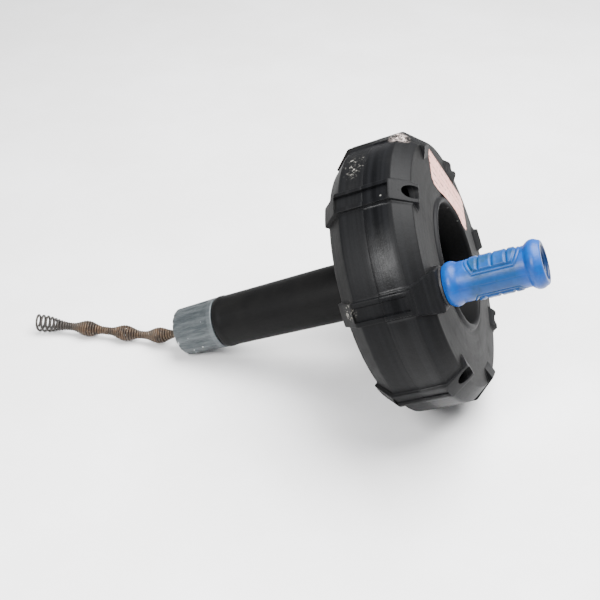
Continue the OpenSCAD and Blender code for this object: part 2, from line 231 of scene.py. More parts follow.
def drum_plastic_finish():
    f = Finish("drum_black_plastic", Specular_IOR_Level=0.11)
    local = f.on_axis()
    x, y, z = f.node("SeparateXYZ", {}, {"Vector": local}, "all")
    radius = (x * x + y * y) ** 0.5
    angle = f.node("Math", {"operation": "ARCTAN2"}, {0: y, 1: x})
    rings = f.node("CombineXYZ", {}, {"X": angle * 0.35, "Y": z * 220.0, "Z": radius * 220.0})
    streak = f.noise(rings, 1.0, 4, 0.6)
    fine_rings = f.node("CombineXYZ", {}, {"X": angle * 1.5, "Y": z * 900.0, "Z": radius * 900.0})
    fine = f.noise(fine_rings, 1.0, 3, 0.55)
    cloud = f.noise(local, 28, 5, 0.62, 0.4)
    dust = f.mask(f.noise(local, 60, 6, 0.7), 0.50, 0.78)

    # The flat rear face is grained and dusty, the ribs and the wall are not. Its paler tone is partly dust and
    # partly painted light, for the face that turns up towards the lamps.
    above_face = z - (radius - FACE_FOOT) * FACE_SLOPE - 0.0015
    off_face = f.node("Math", {"operation": "ABSOLUTE"}, {0: above_face})
    on_face = 1 - f.mask(off_face, 0.00022, 0.00045)
    pale = on_face * (1 - f.mask(radius, 0.0735, 0.0741)) * f.mask(radius, 0.0410, 0.0418)
    front_slope = f.mask(z, 0.0422, 0.0432)
    inside = 1 - f.mask(radius, 0.0362, 0.0372)
    outer = 1 - inside

    tone = f.blend(f.mask(streak, 0.35, 0.75), (0.0012, 0.0013, 0.0016), (0.0042, 0.0044, 0.0050))
    tone = f.blend(dust * 0.22, tone, (0.008, 0.008, 0.0077))
    # Painted shade: the front slope is painted darker than the wall
    tone = f.blend(front_slope * 0.8, tone, (0.0016, 0.0016, 0.0016))
    # Paler rear face: partly dust, partly painted light on the face that catches the light
    tone = f.blend(pale * (0.70 + 0.3 * cloud), tone, (0.0075, 0.0075, 0.0074))
    # Painted shade: the inside of the rear recess is painted near black, as if in shadow
    tone = f.blend(inside * 0.9, tone, (0.0008, 0.0008, 0.0008))

    # Chalky rubbed patch between the two upper ribs, a chipped rib end and a scuff below the crank
    def patch(turn, depth, width, length):
        t = math.radians(turn)
        along_x = math.cos(t) * 0.078
        along_y = math.sin(t) * 0.078
        away = (((x - along_x) * (x - along_x) + (y - along_y) * (y - along_y)) / (width * width)
                + ((z - depth) * (z - depth)) / (length * length)) ** 0.5
        return 1 - f.mask(away, 0.25, 1.0)

    scratch = f.noise(local, 480, 5, 0.75, 0.6)
    rubbed = patch(88, 0.0345, 0.017, 0.010) * f.mask(scratch, 0.55, 0.66)
    chipped = patch(107, 0.0125, 0.010, 0.007) * f.mask(scratch, 0.47, 0.56)
    crank_scuff = patch(24, 0.046, 0.008, 0.006) * f.mask(scratch, 0.52, 0.62)
    tone = f.blend(f.mask(rubbed + crank_scuff, 0.0, 1.0) * 0.55, tone, (0.40, 0.39, 0.35))
    tone = f.blend(chipped * 0.85, tone, (0.62, 0.52, 0.48))

    # Rust-brown grime where the corner ribs meet the floor
    grime = f.mask(f.noise(local, 95, 4, 0.6), 0.60, 0.72) * f.mask(z, 0.044, 0.050)
    tone = f.blend(grime * 0.35, tone, (0.085, 0.050, 0.026))

    # Small pale specks of paint
    cell = f.node("TexVoronoi", {"feature": "F1"}, {"Vector": local, "Scale": 105.0, "Randomness": 1.0})
    few = f.mask(f.noise(local, 31, 2, 0.5), 0.58, 0.64)
    speck = (1 - f.mask(cell, 0.05, 0.085)) * few * outer
    tone = f.blend(speck * 0.5, tone, (0.30, 0.30, 0.28))
    f.feed("Base Color", tone)

    polished = f.mask(z, 0.0115, 0.0160) * (1 - f.mask(z, 0.0240, 0.0320))
    rough = 0.52 - 0.24 * polished + 0.12 * cloud + 0.14 * (streak - 0.5)
    rough = rough + 0.10 * dust + 0.08 * pale + 0.2 * rubbed
    f.feed("Roughness", rough)
    grain = f.noise(local, 1500, 2, 0.5)
    relief = grain * 0.35 + fine * 0.5 + streak * 0.5 + f.noise(local, 160, 4, 0.6) * 1.2
    relief = relief + (rubbed + speck) * 0.5
    f.bump(relief, 0.00012)
    return f.material


drum_plastic = drum_plastic_finish()

# Eight ribs run over both halves: wider on the rear half, where a low ledge flanks each, with
# a channel along every crest
RIB_R = 83.0
SKIN_R = 81.2
PARTING_Z = 27.8
SPIN_STEPS = 352
RECESS_R = 36.8


def smoothstep(low, high, value):
    part = min(max((value - low) / (high - low), 0.0), 1.0)
    return part * part * (3 - 2 * part)


def bend(centre, radius, start, end, count):
    """Points on an arc, angles in degrees."""
    angles = [math.radians(start + (end - start) * i / count) for i in range(count + 1)]
    return [(centre[0] + radius * math.cos(a), centre[1] + radius * math.sin(a)) for a in angles]


def turned_profile(points, steps, closed=True):
    """A mesh spun from (radius, z) points. Each vertex keeps its place in the profile."""
    bm = bmesh.new()
    row = bm.verts.layers.int.new("row")
    start = []
    for i, (r, z) in enumerate(points):
        vertex = bm.verts.new((r, 0, z))
        vertex[row] = i
        start.append(vertex)
    edges = [bm.edges.new(pair) for pair in zip(start, start[1:])]
    if closed:
        edges.append(bm.edges.new((start[-1], start[0])))
    bmesh.ops.spin(bm, geom=start + edges, cent=(0, 0, 0), axis=(0, 0, 1), angle=2 * math.pi,
                   steps=steps, use_merge=True, use_duplicate=False)
    return bm, row


def finished(name, bm, body, material, replaces=(), crease=32, place=laid):
    """The mesh becomes a piece that rides on a body, smooth except at its creases."""
    bmesh.ops.remove_doubles(bm, verts=bm.verts, dist=1e-4)
    bmesh.ops.dissolve_degenerate(bm, edges=bm.edges, dist=1e-5)
    bmesh.ops.recalc_face_normals(bm, faces=bm.faces)
    for face in bm.faces:
        face.smooth = True
    limit = math.radians(crease)
    for edge in bm.edges:
        edge.smooth = len(edge.link_faces) == 2 and edge.calc_face_angle(0) < limit
    bmesh.ops.transform(bm, matrix=place, verts=bm.verts)
    mesh = bpy.data.meshes.new(name)
    bm.to_mesh(mesh)
    bm.free()
    piece = bpy.data.objects.new(name, mesh)
    bpy.context.scene.collection.objects.link(piece)
    mesh.materials.append(material)
    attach(piece, body)
    if replaces:
        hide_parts(*replaces)
    return piece


def skin(z):
    """Slightly crowned wall between the ribs."""
    return SKIN_R - 0.3 * ((z - PARTING_Z) / 15) ** 2


def column_turns(offsets, gap_columns, radius):
    """Angles in degrees across half a rib bay: fixed distances from the rib's middle, then even steps."""
    edge = math.degrees(math.asin(min(offsets[-1] / radius, 1)))
    turns = [math.degrees(math.asin(min(t / radius, 1))) for t in offsets]
    return turns + [edge + (RIB_STEP / 2 - edge) * (k + 1) / gap_columns for k in range(gap_columns)]


def ribbed_shell(rows, offsets, heights, cuts, channel):
    """A drum half: rows of (skin point, crest point), lifted to the crest near each rib.

    offsets are distances from the rib's middle, heights the lift there, cuts the share of the
    channel's depth, and channel is the stretch of z it covers.
    """
    gap_columns = SPIN_STEPS // 16 - len(offsets) + 1
    bm, row = turned_profile([skin_point for skin_point, crest in rows], SPIN_STEPS)
    bay = SPIN_STEPS // 8
    for vertex in bm.verts:
        skin_point, crest = rows[vertex[row]]
        step = round(math.atan2(vertex.co.y, vertex.co.x) / (2 * math.pi) * SPIN_STEPS)
        rib, column = divmod(step + bay // 2, bay)
        column -= bay // 2
        side = 1 if column >= 0 else -1
        index = abs(column)
        lift = heights[index] if index < len(heights) else 0.0
        r, z = skin_point
        if crest:
            r += (crest[0] - r) * lift
            z += (crest[1] - z) * lift
            if index < len(cuts):
                r -= 1.5 * cuts[index] * smoothstep(channel[0], channel[0] + 0.3, z) * (
                    1 - smoothstep(channel[1] - 0.3, channel[1], z))
        turn = math.radians(CRANK_TURN + rib * RIB_STEP
                            + side * column_turns(offsets, gap_columns, max(skin_point[0], RECESS_R))[index])
        vertex.co = (r * math.cos(turn), r * math.sin(turn), z)
    return bm


# Rear half, from the middle of the recess floor outwards and back along the inside
rear_rows = [((0.0, 32.0), None), ((12.0, 32.0), None), ((24.0, 32.0), None), ((31.5, 32.0), None)]
rear_rows += [(p, None) for p in bend((31.9, 30.3), 1.7, 90, 6, 5)]
rear_rows += [((33.6 + 3.1 * k / 10, 30.3 - 28.6 * k / 10), None) for k in range(1, 11)]
rear_rows += [(p, None) for p in bend((38.4, 1.6), 1.6, 180, 330, 9)]
rear_rows += [((40.2, 1.55), None), ((40.6, 1.75), None), ((41.6, 1.75), None), ((42.1, 1.5), None)]
rear_rows += [((42.1 + 21.9 * k / 6, 1.5 + 0.755 * k / 6), None) for k in range(1, 7)]
rear_rows += [((64.6, 2.27), (64.4, 2.30)), ((65.6, 2.31), (65.0, 1.80)), ((67.2, 2.36), (66.9, 0.95)),
              ((68.8, 2.42), (68.8, 0.25)), ((70.4, 2.48), (70.5, -0.30)), ((71.6, 2.52), (71.2, -0.55)),
              ((72.7, 2.56), (71.8, -0.60)), ((73.4, 2.60), (72.2, -0.35)), ((73.9, 2.75), (72.6, 0.10)),
              ((74.2, 3.02), (73.1, 0.65)), ((74.45, 3.35), (73.6, 1.20))]
rear_rows += [((74.45 + 6.1 * k / 7, 3.35 + 7.9 * k / 7), (73.6 + 8.6 * k / 7, 1.2 + 9.9 * k / 7))
              for k in range(1, 8)]
rear_rows += [((80.80, 11.65), (82.60, 11.60)), ((80.90, 12.05), (82.88, 12.15)),
              ((80.92, 12.6), (83.0, 12.75))]
for z in (12.95, 13.2, 13.6, 15, 17, 19, 21, 23, 25, 26.6, 27.55):
    rear_rows.append(((skin(z), z), (RIB_R, z)))
rear_rows.append(((skin(PARTING_Z) - 0.06, PARTING_Z), (RIB_R - 0.10, PARTING_Z)))
rear_inside = [(80.2, PARTING_Z), (78.6, PARTING_Z), (78.6, 20.0), (78.6, 13.6), (72.4, 5.2), (65.0, 4.9),
               (52.0, 4.6), (41.5, 4.6), (39.6, 6.5), (38.0, 20.0), (36.4, 33.2), (35.0, 34.6), (18.0, 34.6),
               (0.0, 34.6)]
rear_rows += [(p, None) for p in rear_inside]
REAR_OFFSETS = [0, 2, 3.8, 4.1, 5.2, 6.15, 6.40, 6.55, 6.70, 6.85, 7.4, 7.75, 7.95, 8.2, 9.2]
REAR_LIFT = [1, 1, 1, 1, 1, 1, 0.96, 0.75, 0.38, 0.22, 0.20, 0.18, 0.10, 0.02, 0]
REAR_CUT = [1, 1, 1, 0]
rear_shell = ribbed_shell(rear_rows, REAR_OFFSETS, REAR_LIFT, REAR_CUT, (12.75, 40.0))

# Raised seat that carries the crank: a round boss with a ramp up from the first rib
SEAT_R = 60.0
SEAT_HALF = 11.8
SEAT_TOP = -2.3
seat = bmesh.new()
outline = bend((SEAT_R, 0.0), SEAT_HALF, 90, 270, 24)
outline += [(71.6, -SEAT_HALF), (81.6, -7.4), (81.6, 7.4), (71.6, SEAT_HALF)]
plan = seat.faces.new([seat.verts.new((x, y, SEAT_TOP)) for x, y in outline])
block = bmesh.ops.extrude_face_region(seat, geom=[plan])
raised = [v for v in block["geom"] if isinstance(v, bmesh.types.BMVert)]
bmesh.ops.translate(seat, vec=(0, 0, 14.3), verts=raised)
slope = Vector((9.4, 0, 11.3))
slope_way = Vector((slope.z, 0, -slope.x)).normalized()
cut = bmesh.ops.bisect_plane(seat, geom=seat.verts[:] + seat.edges[:] + seat.faces[:], dist=1e-5,
                             plane_co=(71.6, 0, SEAT_TOP), plane_no=slope_way, clear_outer=True)
bmesh.ops.edgeloop_fill(seat, edges=[e for e in cut["geom_cut"] if isinstance(e, bmesh.types.BMEdge)])
rims = [e for e in seat.edges if all(v.co.z < SEAT_TOP + 0.01 for v in e.verts)]
bmesh.ops.bevel(seat, geom=rims, offset=1.5, affect="EDGES", segments=5, profile=0.5, material=-1)
to_crank = Matrix.Rotation(math.radians(CRANK_TURN), 3, "Z")
bmesh.ops.rotate(seat, cent=(0, 0, 0), matrix=to_crank, verts=seat.verts)
bmesh.ops.recalc_face_normals(seat, faces=seat.faces)

# Bosses behind the screw pockets, and the pockets themselves, through every second rib
SCREW_R = 74.0
pockets = bmesh.new()
for k in range(4):
    turn = math.radians(CRANK_TURN + RIB_STEP + 90 * k)
    spot = Vector((SCREW_R * math.cos(turn), SCREW_R * math.sin(turn), 0))
    bmesh.ops.create_cone(seat, cap_ends=True, segments=48, radius1=5.6, radius2=5.6, depth=18,
                          matrix=Matrix.Translation(spot + Vector((0, 0, 17))))
    bmesh.ops.create_cone(pockets, cap_ends=True, segments=48, radius1=4.4, radius2=4.4, depth=22,
                          matrix=Matrix.Translation(spot + Vector((0, 0, 4))))


def plain_object(bm, name):
    mesh = bpy.data.meshes.new(name)
    bm.to_mesh(mesh)
    bm.free()
    made = bpy.data.objects.new(name, mesh)
    bpy.context.scene.collection.objects.link(made)
    return made


def carved(bm, steps):
    """The mesh after solids are joined to it or cut from it."""
    bmesh.ops.remove_doubles(bm, verts=bm.verts, dist=1e-4)
    bmesh.ops.recalc_face_normals(bm, faces=bm.faces)
    whole = plain_object(bm, "whole")
    others = []
    for operation, other in steps:
        tool = plain_object(other, "tool")
        others.append(tool)
        change = whole.modifiers.new(operation, "BOOLEAN")
        change.operation, change.object, change.solver = operation, tool, "EXACT"
    bpy.context.view_layer.update()
    result = bmesh.new()
    result.from_object(whole, bpy.context.evaluated_depsgraph_get())
    for done in [whole, *others]:
        bpy.data.meshes.remove(done.data)
    return result


rear_shell = carved(rear_shell, [("UNION", seat), ("DIFFERENCE", pockets)])
finished("drum_rear_shell", rear_shell, "drum", drum_plastic, ["rear_shell"])

# Front half, from the parting line forward, over the cone to the hub and back inside
front_rows = [((78.6, PARTING_Z + 0.03), None), ((80.2, PARTING_Z + 0.03), None),
              ((skin(PARTING_Z) - 0.07, PARTING_Z + 0.03), (RIB_R - 0.22, PARTING_Z + 0.03))]
for z in (28.1, 29.0, 31, 33, 35, 37, 39, 40.4):
    front_rows.append(((skin(z), z), (RIB_R - 0.12 - 0.1 * (z - PARTING_Z) / 16.4, z)))
front_rows += [((80.92, 41.2), (82.80, 42.9)), ((80.88, 41.8), (82.77, 43.6)),
               ((80.72, 42.3), (82.60, 44.15)), ((80.38, 42.8), (82.25, 44.60))]
front_rows += [((80.38 - 7.4 * k / 7, 42.8 + 8.3 * k / 7), (82.25 - 8.15 * k / 7, 44.6 + 8.4 * k / 7))
               for k in range(1, 8)]
front_rows += [((72.6, 51.45), (73.75, 53.45)), ((72.0, 51.75), (73.3, 53.75)), ((71.6, 51.9), (72.85, 53.6)),
               ((71.2, 52.0), (72.5, 53.1)), ((70.8, 52.1), (72.1, 52.5)), ((70.3, 52.22), (71.6, 52.1))]
front_rows += [((69.4 - 40.6 * k / 8, 52.4 + 7.3 * k / 8), None) for k in range(9)]
front_hub = [(27.9, 59.95), (26.7, 60.8), (26.0, 61.0), (9.1, 61.0), (9.1, 58.0), (26.4, 58.0), (70.4, 49.8),
             (78.6, 40.8)]
front_rows += [(p, None) for p in front_hub]
FRONT_OFFSETS = [0, 2, 3.7, 4.05, 5.0, 5.9, 6.25, 6.45, 6.6, 6.72, 6.95, 7.5, 8.4]
FRONT_LIFT = [1, 1, 1, 1, 1, 1, 0.985, 0.95, 0.86, 0.35, 0.08, 0.015, 0]
FRONT_CUT = [1, 1, 1, 0]
front_shell = ribbed_shell(front_rows, FRONT_OFFSETS, FRONT_LIFT, FRONT_CUT, (20.0, 44.6))
finished("drum_front_shell", front_shell, "drum", drum_plastic, ["front_shell"])

# ---------------------------------------------------------------- grip tube
# A matt black tapered tube turns freely on the neck. Its rear end is a plain seat against
# the drum and its nose ends in a low rolled bead under the collar.


def grip_plastic_finish():
    f = Finish("grip_black_plastic", Specular_IOR_Level=0.10)
    local = f.on_axis()
    cloud = f.noise(local, 40, 5, 0.6, 0.3)
    streak = f.noise(f.stretched(local, (500, 500, 25)), 1.0, 4, 0.6)
    lint = f.mask(f.noise(f.stretched(local, (900, 900, 320)), 1.0, 3, 0.6, 1.2), 0.72, 0.76)
    tone = f.blend(f.mask(cloud, 0.3, 0.75), (0.0016, 0.0016, 0.0017), (0.0038, 0.0037, 0.0035))
    tone = f.blend(f.mask(streak, 0.62, 0.8) * 0.35, tone, (0.010, 0.0098, 0.0092))
    tone = f.blend(lint * 0.35, tone, (0.038, 0.036, 0.034))
    f.feed("Base Color", tone)
    f.feed("Roughness", 0.50 + 0.16 * cloud + 0.10 * (streak - 0.5))
    f.bump(f.noise(local, 1800, 2, 0.5) * 0.5 + f.noise(local, 420, 3, 0.55) + streak * 0.6, 0.00010)
    return f.material


GRIP_R = 17.7
tube_outline = [(14.6, 63.4), (16.9, 63.4)] + bend((16.9, 64.2), 0.8, -60, 0, 4)
tube_outline += [(GRIP_R, 64.2 + 19.2 * k / 4) for k in range(1, 5)]
tube_outline += [(GRIP_R - 1.3 * k / 10, 83.4 + 68.2 * k / 10) for k in range(1, 10)]
tube_outline += [(16.42, 153.2), (16.5, 154.6), (16.72, 155.8), (16.8, 157.0), (16.75, 158.4), (16.5, 159.6),
                 (16.0, 160.3), (14.6, 160.5)]
tube, _ = turned_profile(tube_outline, 96)
grip_plastic = grip_plastic_finish()
finished("grip_tube_skin", tube, "grip", grip_plastic, ["grip_tube"])

# ---------------------------------------------------------------- lock collar
# Cast grey metal, turned by hand to clamp the cable. Shallow flutes run along it for the
# fingers, a plain rim closes it at the rear and the nose is rounded over.


def collar_metal_finish():
    f = Finish("collar_cast_metal", Specular_IOR_Level=0.5)
    local = f.on_axis()
    x, y, z = f.node("SeparateXYZ", {}, {"Vector": local}, "all")
    lengthwise = f.stretched(local, (420, 420, 55))
    drag = f.noise(lengthwise, 1.0, 5, 0.68, 0.4)
    cloud = f.noise(local, 95, 5, 0.62)
    pits = f.mask(f.noise(local, 650, 3, 0.6), 0.60, 0.72)
    radius = (x * x + y * y) ** 0.5
    crest = f.mask(radius, 0.0149, 0.0163)
    rim = 1 - f.mask(z, 0.1635, 0.1650)
    tone = f.blend(f.mask(drag, 0.34, 0.70), (0.031, 0.038, 0.042), (0.084, 0.094, 0.098))
    tone = f.blend(f.mask(cloud, 0.45, 0.75) * 0.4, tone, (0.10, 0.112, 0.115))
    tone = f.blend(rim * 0.3, tone, (0.12, 0.135, 0.14))
    tone = f.blend(pits * 0.35, tone, (0.065, 0.07, 0.075))
    bright = f.mask(f.noise(local, 310, 2, 0.5), 0.71, 0.75)
    tone = f.blend(bright * 0.6, tone, (0.62, 0.64, 0.65))
    rust = f.mask(f.noise(local, 140, 4, 0.65), 0.64, 0.76)
    tone = f.blend(rust * 0.3, tone, (0.19, 0.13, 0.085))
    f.feed("Base Color", tone)
    f.feed("Metallic", 0.40 + 0.25 * crest)
    f.feed("Roughness", 0.46 + 0.22 * drag - 0.08 * rim + 0.12 * pits)
    f.bump(drag * 1.0 + cloud * 0.5 - pits * 0.5, 0.00022)
    return f.material


COLLAR_STEPS = 288
FLUTES = 18
FLUTE_DEPTH = 0.62
collar_outline = [(12.2, 160.9), (15.6, 160.9)] + bend((15.75, 161.55), 0.65, -80, 0, 5)
collar_outline += [(16.4, 162.6), (16.4, 163.6), (16.35, 164.2)]
collar_outline += [(16.33 - 0.83 * k / 14, 164.6 + 23.8 * k / 14) for k in range(15)]
collar_outline += bend((13.3, 188.4), 2.2, 8, 90, 8) + [(11.0, 190.55), (8.0, 190.5), (5.2, 190.5)]
collar_outline += bend((5.2, 189.5), 1.0, 90, 180, 4)
collar_outline += [(4.2, 186.0), (4.2, 184.3), (9.4, 184.3), (9.4, 173.3), (12.2, 173.3)]
collar, _ = turned_profile(collar_outline, COLLAR_STEPS)
for vertex in collar.verts:
    r = math.hypot(vertex.co.x, vertex.co.y)
    if r > 12.5 and vertex.co.z > 164.3:
        turn = math.atan2(vertex.co.y, vertex.co.x) / (2 * math.pi) * FLUTES + 0.5
        across = abs((turn % 1) - 0.5) * 2
        depth = FLUTE_DEPTH * (1 - smoothstep(0.16, 0.44, across))
        depth *= smoothstep(164.5, 167.0, vertex.co.z) * smoothstep(12.6, 15.0, r)
        wear = 0.10 * noise.noise(Vector((vertex.co.x, vertex.co.y, vertex.co.z * 0.25)) * 0.55)
        scale = (r - depth + wear) / r
        vertex.co.x *= scale
        vertex.co.y *= scale
finished("lock_collar_skin", collar, "lock_collar", collar_metal_finish(), ["lock_collar"],
         crease=40)

# ---------------------------------------------------------------- auger head
# One hard spring wire wound into three bulbs with waists between, then opened out into a
# hook coil. It leaves the collar on the pitched axis and bends until it lies on the floor.
HEAD_START = 191.6
HEAD_LENGTH = 106.0
HEAD_REST = 6.15
WIRE_R = 0.78
LAST_TURN = math.radians(250)
BULBS = (17.0, 41.0, 67.5)
BULB_HALF = 10.8
pitch_angle = math.asin(-nose_way.z)
axis_height = recess_rim.z * 1000
bend_radius = (axis_height - HEAD_START * math.sin(pitch_angle) - HEAD_REST) / (1 - math.cos(pitch_angle))
bend_length = bend_radius * pitch_angle


def head_axis(u):
    """Point and unit forward direction at a distance along the head."""
    turn = min(u / bend_length, 1) * pitch_angle
    point = Vector((0, bend_radius * (1 - math.cos(turn)), HEAD_START + bend_radius * math.sin(turn)))
    way = Vector((0, math.sin(turn), math.cos(turn)))
    return point + way * max(u - bend_length, 0), way


def bulb_share(u):
    return sum(math.cos(math.pi / 2 * (u - c) / BULB_HALF) ** 2 for c in BULBS if abs(u - c) < BULB_HALF)


def head_radius(u):
    if u < 80:
        return 2.75 + 2.65 * bulb_share(u)
    return 2.75 + 3.15 * smoothstep(80, 99, u)


def head_wire_finish():
    f = Finish("auger_rusty_wire", Specular_IOR_Level=0.5)
    place = f.place()
    mottle = f.noise(place, 210, 5, 0.65, 0.5)
    coarse = f.noise(place, 45, 3, 0.55)
    x = f.node("SeparateXYZ", {}, {"Vector": place}, "X")
    tip = 1 - f.mask(x, recess_rim.x - 0.262, recess_rim.x - 0.240)
    fleck = f.mask(f.noise(place, 620, 3, 0.6), 0.60, 0.70)
    tone = f.blend(f.mask(mottle, 0.35, 0.68), (0.020, 0.012, 0.007), (0.085, 0.047, 0.023))
    tone = f.blend(f.mask(coarse, 0.42, 0.66) * 0.55, tone, (0.060, 0.050, 0.038))
    tone = f.blend(tip * 0.85, tone, (0.022, 0.021, 0.020))
    tone = f.blend(fleck * (1 - tip) * 0.5, tone, (0.30, 0.26, 0.21))
    # Painted shade: the inner side of each wire turn, towards the axis and between the turns, is painted near
    # black
    crest = f.node("Attribute", {"attribute_name": "crest"}, out="Fac")
    groove = (1 - f.mask(crest, 0.62, 0.90)) * (1 - tip)
    tone = f.blend(groove * 0.9, tone, (0.006, 0.004, 0.003))
    f.feed("Base Color", tone)
    f.feed("Metallic", 0.40 + 0.30 * fleck)
    f.feed("Roughness", 0.40 + 0.30 * mottle)
    f.bump(mottle + f.noise(place, 900, 3, 0.6), 0.00010)
    return f.material


head_wire_metal = head_wire_finish()


def wound(name, turns_at, end, sides, body, material, replaces=()):
    """A wire wound round the head's axis. turns_at gives (wire centre radius, pitch) at a distance."""
    step = math.radians(15)
    places, u = [], 0.0
    while u < end:
        places.append(u)
        u += turns_at(u)[1] * step / (2 * math.pi)
    points = []
    for k, u in enumerate(places):
        phase = LAST_TURN - (len(places) - 1 - k) * step
        centre, way = head_axis(u)
        lift = way.cross(Vector((1, 0, 0)))
        spoke = math.cos(phase) * Vector((1, 0, 0)) + math.sin(phase) * lift
        points.append(centre + turns_at(u)[0] * spoke)
    curve = bpy.data.curves.new(name, "CURVE")
    curve.dimensions = "3D"
    curve.bevel_depth = WIRE_R
    curve.bevel_resolution = sides
    curve.use_fill_caps = True
    line = curve.splines.new("POLY")
    line.points.add(len(points) - 1)
    for knot, p in zip(line.points, points):
        knot.co = (*p, 1)
    holder = bpy.data.objects.new(name, curve)
    bpy.context.scene.collection.objects.link(holder)
    bpy.context.view_layer.update()
    bm = bmesh.new()
    bm.from_mesh(holder.evaluated_get(bpy.context.evaluated_depsgraph_get()).to_mesh())
    bpy.data.curves.remove(curve)
    crest = bm.verts.layers.float.new("crest")
    tree = KDTree(len(points))
    for k, p in enumerate(points):
        tree.insert(p, k)
    tree.balance()
    # The crest value runs from 0 on the wire's inner side to 1 on its outer side, and the finish paints shade
    # on the inner side from it
    for vertex in bm.verts:
        u = places[tree.find(vertex.co)[1]]
        out = (vertex.co - head_axis(u)[0]).length - turns_at(u)[0]
        vertex[crest] = 0.5 + 0.5 * out / WIRE_R
    return finished(name, bm, body, material, replaces, crease=60)


def head_turns(u):
    close = 1.58 + 0.10 * bulb_share(u)
    opened = smoothstep(80, 103, u)
    return max(head_radius(u) - WIRE_R, 1.6), close + (3.5 - close) * opened


wound("auger_head_wire", head_turns, HEAD_LENGTH - 1.6, 2, "cable", head_wire_metal,
      ["auger_head"])

# ---------------------------------------------------------------- crank handle
# Bright blue moulded grip that spins on the crank spindle. Two opposite finger panels stand
# proud inside a grooved border, a mould seam runs between them and the end flares to a rim.
HANDLE_TOP = SEAT_TOP - 1.5
PANEL_TURN = 102.0
PANEL_CUTS = (19.6, 27.2, 34.8)


def handle_plastic_finish():
    f = Finish("handle_blue_plastic", Specular_IOR_Level=0.22)
    local = f.on_axis(laid @ Vector((SEAT_R * math.cos(math.radians(CRANK_TURN)),
                                     SEAT_R * math.sin(math.radians(CRANK_TURN)), HANDLE_TOP)))
    x, y, z = f.node("SeparateXYZ", {}, {"Vector": local}, "all")
    radius = (x * x + y * y) ** 0.5
    cloud = f.noise(local, 75, 5, 0.62, 0.5)
    worn = f.noise(f.stretched(local, (220, 220, 60)), 1.0, 5, 0.7, 0.6)
    grime = f.mask(f.noise(local, 130, 5, 0.68, 0.4), 0.46, 0.72)
    low = 1 - f.mask(radius, 0.0100, 0.0112)
    middle = f.mask(z, -0.043, -0.038) * (1 - f.mask(z, -0.016, -0.010))
    tone = f.blend(f.mask(cloud, 0.3, 0.72), (0.0, 0.034, 0.175), (0.0, 0.060, 0.285))
    tone = f.blend(middle * (0.40 + 0.5 * grime), tone, (0.003, 0.028, 0.046))
    # Painted shade: the hollow end and the foot inside 10 mm radius are painted near black
    tone = f.blend(low * 0.75, tone, (0.002, 0.007, 0.018))
    tone = f.blend(f.mask(worn, 0.60, 0.72) * middle * 0.35, tone, (0.018, 0.045, 0.058))
    tone = f.blend(f.mask(worn, 0.66, 0.78) * (1 - middle) * 0.35, tone, (0.02, 0.13, 0.48))
    f.feed("Base Color", tone)
    f.feed("Roughness", 0.30 + 0.20 * cloud + 0.18 * middle * grime)
    f.bump(f.noise(local, 700, 3, 0.6) * 0.5 + worn * 0.7 + cloud * 0.6, 0.00012)
    return f.material


def handle_relief(turn, depth):
    """How far the surface stands proud at an angle in degrees and a distance from the drum."""
    best = 0.0
    for middle in (PANEL_TURN, PANEL_TURN + 180):
        off = (turn - middle + 180) % 360 - 180
        side = 58 - abs(off)
        ends = min(depth - 12.2, 42.0 - depth) * 0.9 - (abs(off) / 58) ** 2 * 3.4
        inner = min(side * 0.195, ends)
        proud = 0.52 * smoothstep(-0.25, 0.45, inner - 2.3)
        proud += 0.18 * smoothstep(-0.2, 0.3, inner)
        proud -= 0.42 * math.exp(-((inner - 1.7) / 0.42) ** 2)
        proud -= 0.25 * math.exp(-((inner + 0.1) / 0.32) ** 2)
        for place in PANEL_CUTS:
            proud -= 0.85 * math.exp(-((depth - place) / 0.55) ** 2) * smoothstep(2.0, 3.2, inner)
            proud += 0.10 * math.exp(-((abs(depth - place) - 1.5) / 0.7) ** 2) * smoothstep(2.0, 3.0, inner)
        best += proud
    for seam in (PANEL_TURN - 90, PANEL_TURN + 90):
        off = (turn - seam + 180) % 360 - 180
        best -= 0.12 * math.exp(-(off / 1.3) ** 2)
    return best


HANDLE_STEPS = 240
handle_outline = [(5.5, 0.0), (10.2, 0.0)] + bend((10.4, 0.7), 0.7, -90, -10, 4)
handle_outline += [(11.7, 1.4), (12.1, 2.3), (12.3, 3.3), (12.25, 4.4), (11.9, 5.5), (11.35, 6.6), (11.0, 7.6),
                   (10.95, 8.5)]
handle_outline += [(11.0, 9.4 + 32.6 * k / 96) for k in range(97)]
handle_outline += [(11.0, 42.6), (11.05, 43.4), (11.15, 43.9), (11.45, 44.2), (11.75, 44.5), (12.1, 45.0),
                   (12.6, 45.7), (13.0, 46.5), (13.2, 47.4), (13.25, 48.2), (13.1, 49.2), (12.75, 50.1),
                   (12.3, 50.8), (12.15, 51.2), (11.9, 51.9), (11.4, 52.35), (10.8, 52.5), (9.6, 52.5),
                   (9.2, 52.2), (9.0, 51.6)]
handle_outline += [(7.9, 51.2), (7.6, 50.9), (7.4, 50.2), (7.4, 46.3), (5.5, 46.3)]
handle, _ = turned_profile([(r, -z) for r, z in handle_outline], HANDLE_STEPS)
for vertex in handle.verts:
    r = math.hypot(vertex.co.x, vertex.co.y)
    depth = -vertex.co.z
    if r > 10.5 and 1.5 < depth < 51.5:
        turn = math.degrees(math.atan2(vertex.co.y, vertex.co.x))
        scale = (r + handle_relief(turn, depth)) / r
        vertex.co.x *= scale
        vertex.co.y *= scale
crank_turn = math.radians(CRANK_TURN)
handle_foot = (SEAT_R * math.cos(crank_turn), SEAT_R * math.sin(crank_turn), HANDLE_TOP)
handle_place = laid @ Matrix.Translation(handle_foot)
handle_plastic = handle_plastic_finish()
finished("crank_handle_grip", handle, "crank_handle", handle_plastic, ["crank_handle"],
         crease=50, place=handle_place)

# ---------------------------------------------------------------- paper label
# A worn label is stuck to the rear face beside the recess. It is thin paper that follows the
# moulding, creased and stained, and of its print only broken rows of dashes are left.
LABEL_WIDTH = 24.8
LABEL_LENGTH = 66.0
LABEL_TURN = 151.0
LABEL_R = 50.5
PRINT_PITCH = 0.005


